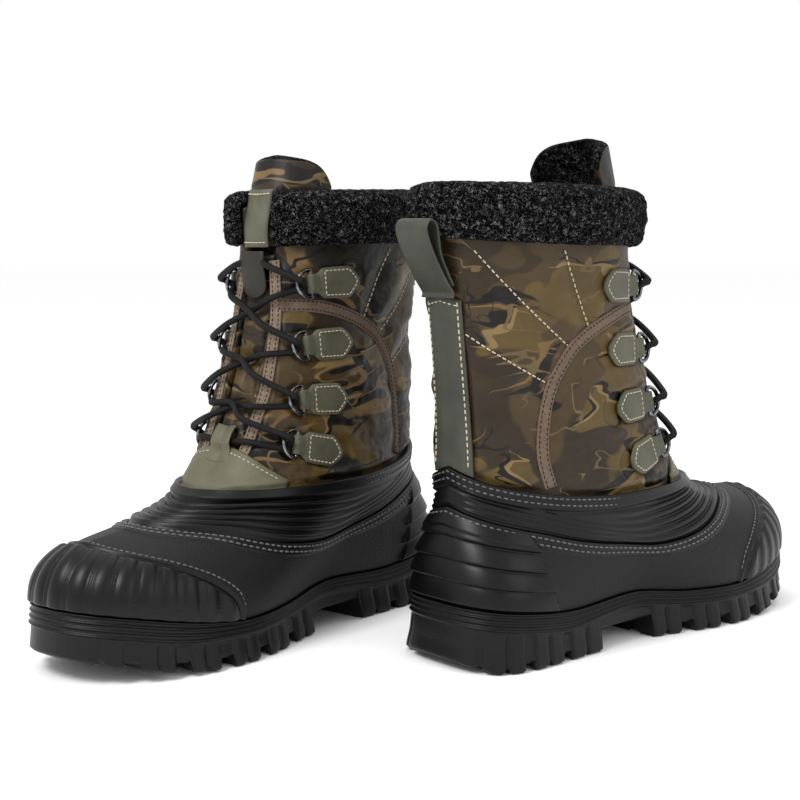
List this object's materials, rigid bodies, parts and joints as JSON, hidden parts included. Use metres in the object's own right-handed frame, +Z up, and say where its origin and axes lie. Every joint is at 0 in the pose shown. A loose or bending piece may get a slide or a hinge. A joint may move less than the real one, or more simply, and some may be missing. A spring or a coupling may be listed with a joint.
{
  "type": "pair of insulated hunting boots",
  "caption": "Pair of tall insulated pac boots: rubber feet on lugged soles, padded laced shafts with D-ring tabs, fleece collars and heel pull loops.",
  "frame": {"origin": "middle of the floor area under the pair, on the floor", "axes": "+X across the pair from the left boot to the right boot, +Y away from the viewer, +Z up"},
  "size_m": [0.4984, 0.2868, 0.318],
  "materials": {
    "rubber": "black moulded rubber, satin with glossy ribs",
    "camo_fabric": "satin nylon, brown, tan and green-black woodland pattern, quilted",
    "olive_leather": "matte grained olive leather with cream stitching",
    "charcoal_fleece": "curly charcoal fleece",
    "footbed_foam": "felt-topped foam",
    "black_lace": "round braided polyester",
    "gunmetal": "polished dark nickel",
    "spring_steel": "plain"
  },
  "bodies": {
    "left_boot": {"left_outsole": "rubber", "left_shank": "spring_steel", "left_rubber_shell": "rubber", "left_shell_cuff": "rubber", "left_shaft": "camo_fabric", "left_back_stay": "olive_leather", "left_vamp_patch": "olive_leather", "left_tongue": "camo_fabric", "left_collar": "charcoal_fleece", "left_liner": "charcoal_fleece", "left_footbed": "footbed_foam", "left_lace": "black_lace", "left_tab_lateral_1": "olive_leather", "left_tab_lateral_2": "olive_leather", "left_tab_lateral_3": "olive_leather", "left_tab_lateral_4": "olive_leather", "left_tab_medial_1": "olive_leather", "left_tab_medial_2": "olive_leather", "left_tab_medial_3": "olive_leather", "left_tab_medial_4": "olive_leather"},
    "left_tongue_flap_body": {"left_tongue_flap": "camo_fabric"},
    "left_heel_loop_body": {"left_heel_loop": "olive_leather"},
    "left_ring_lateral_1_body": {"left_ring_lateral_1": "gunmetal"},
    "left_ring_lateral_2_body": {"left_ring_lateral_2": "gunmetal"},
    "left_ring_lateral_3_body": {"left_ring_lateral_3": "gunmetal"},
    "left_ring_lateral_4_body": {"left_ring_lateral_4": "gunmetal"},
    "left_ring_medial_1_body": {"left_ring_medial_1": "gunmetal"},
    "left_ring_medial_2_body": {"left_ring_medial_2": "gunmetal"},
    "left_ring_medial_3_body": {"left_ring_medial_3": "gunmetal"},
    "left_ring_medial_4_body": {"left_ring_medial_4": "gunmetal"},
    "right_boot": {"right_outsole": "rubber", "right_shank": "spring_steel", "right_rubber_shell": "rubber", "right_shell_cuff": "rubber", "right_shaft": "camo_fabric", "right_back_stay": "olive_leather", "right_vamp_patch": "olive_leather", "right_tongue": "camo_fabric", "right_collar": "charcoal_fleece", "right_liner": "charcoal_fleece", "right_footbed": "footbed_foam", "right_lace": "black_lace", "right_tab_lateral_1": "olive_leather", "right_tab_lateral_2": "olive_leather", "right_tab_lateral_3": "olive_leather", "right_tab_lateral_4": "olive_leather", "right_tab_medial_1": "olive_leather", "right_tab_medial_2": "olive_leather", "right_tab_medial_3": "olive_leather", "right_tab_medial_4": "olive_leather"},
    "right_tongue_flap_body": {"right_tongue_flap": "camo_fabric"},
    "right_heel_loop_body": {"right_heel_loop": "olive_leather"},
    "right_ring_lateral_1_body": {"right_ring_lateral_1": "gunmetal"},
    "right_ring_lateral_2_body": {"right_ring_lateral_2": "gunmetal"},
    "right_ring_lateral_3_body": {"right_ring_lateral_3": "gunmetal"},
    "right_ring_lateral_4_body": {"right_ring_lateral_4": "gunmetal"},
    "right_ring_medial_1_body": {"right_ring_medial_1": "gunmetal"},
    "right_ring_medial_2_body": {"right_ring_medial_2": "gunmetal"},
    "right_ring_medial_3_body": {"right_ring_medial_3": "gunmetal"},
    "right_ring_medial_4_body": {"right_ring_medial_4": "gunmetal"}
  },
  "joints": [
    {"name": "right_boot_lift", "type": "slide", "parent": "left_boot", "child": "right_boot", "axis": [0, 0, 1], "range_m": [0, 0.35]},
    {"name": "left_tongue_bend", "type": "hinge", "parent": "left_boot", "child": "left_tongue_flap_body", "pos_m": [-0.11175, 0.00897, 0.2497], "axis": [-0.7879, 0.6158, 0], "range_deg": [0, 10]},
    {"name": "left_heel_loop_bend", "type": "hinge", "parent": "left_boot", "child": "left_heel_loop_body", "pos_m": [-0.02653, 0.11801, 0.226], "axis": [-0.7879, 0.6158, 0], "range_deg": [0, 45]},
    {"name": "left_ring_lateral_1_swing", "type": "hinge", "parent": "left_boot", "child": "left_ring_lateral_1_body", "pos_m": [-0.09122, -0.03051, 0.12514], "axis": [0.0611, 0.295, 0.9536], "range_deg": [-2, 4]},
    {"name": "left_ring_lateral_2_swing", "type": "hinge", "parent": "left_boot", "child": "left_ring_lateral_2_body", "pos_m": [-0.08766, -0.02204, 0.15324], "axis": [-0.0747, 0.144, 0.9868], "range_deg": [-2, 4]},
    {"name": "left_ring_lateral_3_swing", "type": "hinge", "parent": "left_boot", "child": "left_ring_lateral_3_body", "pos_m": [-0.08534, -0.01519, 0.18787], "axis": [-0.1006, 0.0841, 0.9914], "range_deg": [-2, 4]},
    {"name": "left_ring_lateral_4_swing", "type": "hinge", "parent": "left_boot", "child": "left_ring_lateral_4_body", "pos_m": [-0.08246, -0.00973, 0.22767], "axis": [-0.0757, 0.0374, 0.9964], "range_deg": [-2, 4]},
    {"name": "left_ring_medial_1_swing", "type": "hinge", "parent": "left_boot", "child": "left_ring_medial_1_body", "pos_m": [-0.15503, 0.01936, 0.12514], "axis": [0.2715, 0.1305, 0.9536], "range_deg": [-4, 2]},
    {"name": "left_ring_medial_2_swing", "type": "hinge", "parent": "left_boot", "child": "left_ring_medial_2_body", "pos_m": [-0.14767, 0.02486, 0.15324], "axis": [0.1578, -0.0377, 0.9868], "range_deg": [-4, 2]},
    {"name": "left_ring_medial_3_swing", "type": "hinge", "parent": "left_boot", "child": "left_ring_medial_3_body", "pos_m": [-0.14158, 0.02876, 0.18787], "axis": [0.1059, -0.0773, 0.9914], "range_deg": [-4, 2]},
    {"name": "left_ring_medial_4_swing", "type": "hinge", "parent": "left_boot", "child": "left_ring_medial_4_body", "pos_m": [-0.13698, 0.03288, 0.22767], "axis": [0.0546, -0.0644, 0.9964], "range_deg": [-4, 2]},
    {"name": "right_tongue_bend", "type": "hinge", "parent": "right_boot", "child": "right_tongue_flap_body", "pos_m": [0.10187, -0.00516, 0.2497], "axis": [0.6601, -0.7511, 0], "range_deg": [0, 10]},
    {"name": "right_heel_loop_bend", "type": "hinge", "parent": "right_boot", "child": "right_heel_loop_body", "pos_m": [-0.00209, -0.09651, 0.226], "axis": [0.6601, -0.7511, 0], "range_deg": [0, 45]},
    {"name": "right_ring_lateral_1_swing", "type": "hinge", "parent": "right_boot", "child": "right_ring_lateral_1_body", "pos_m": [0.14247, -0.02338, 0.12514], "axis": [-0.291, -0.078, 0.9536], "range_deg": [-4, 2]},
    {"name": "right_ring_lateral_2_swing", "type": "hinge", "parent": "right_boot", "child": "right_ring_lateral_2_body", "pos_m": [0.13421, -0.02742, 0.15324], "axis": [-0.148, 0.0663, 0.9868], "range_deg": [-4, 2]},
    {"name": "right_ring_lateral_3_swing", "type": "hinge", "parent": "right_boot", "child": "right_ring_lateral_3_body", "pos_m": [0.12751, -0.03013, 0.18787], "axis": [-0.0897, 0.0956, 0.9914], "range_deg": [-4, 2]},
    {"name": "right_ring_lateral_4_swing", "type": "hinge", "parent": "right_boot", "child": "right_ring_lateral_4_body", "pos_m": [0.12223, -0.03333, 0.22767], "axis": [-0.0417, 0.0734, 0.9964], "range_deg": [-4, 2]},
    {"name": "right_ring_medial_1_swing", "type": "hinge", "parent": "right_boot", "child": "right_ring_medial_1_body", "pos_m": [0.08901, 0.03745, 0.12514], "axis": [-0.1147, -0.2785, 0.9536], "range_deg": [-2, 4]},
    {"name": "right_ring_medial_2_swing", "type": "hinge", "parent": "right_boot", "child": "right_ring_medial_2_body", "pos_m": [0.08394, 0.02978, 0.15324], "axis": [0.0467, -0.1553, 0.9868], "range_deg": [-2, 4]},
    {"name": "right_ring_medial_3_swing", "type": "hinge", "parent": "right_boot", "child": "right_ring_medial_3_body", "pos_m": [0.08039, 0.02348, 0.18787], "axis": [0.0832, -0.1012, 0.9914], "range_deg": [-2, 4]},
    {"name": "right_ring_medial_4_swing", "type": "hinge", "parent": "right_boot", "child": "right_ring_medial_4_body", "pos_m": [0.07654, 0.01865, 0.22767], "axis": [0.0674, -0.0508, 0.9964], "range_deg": [-2, 4]}
  ]
}
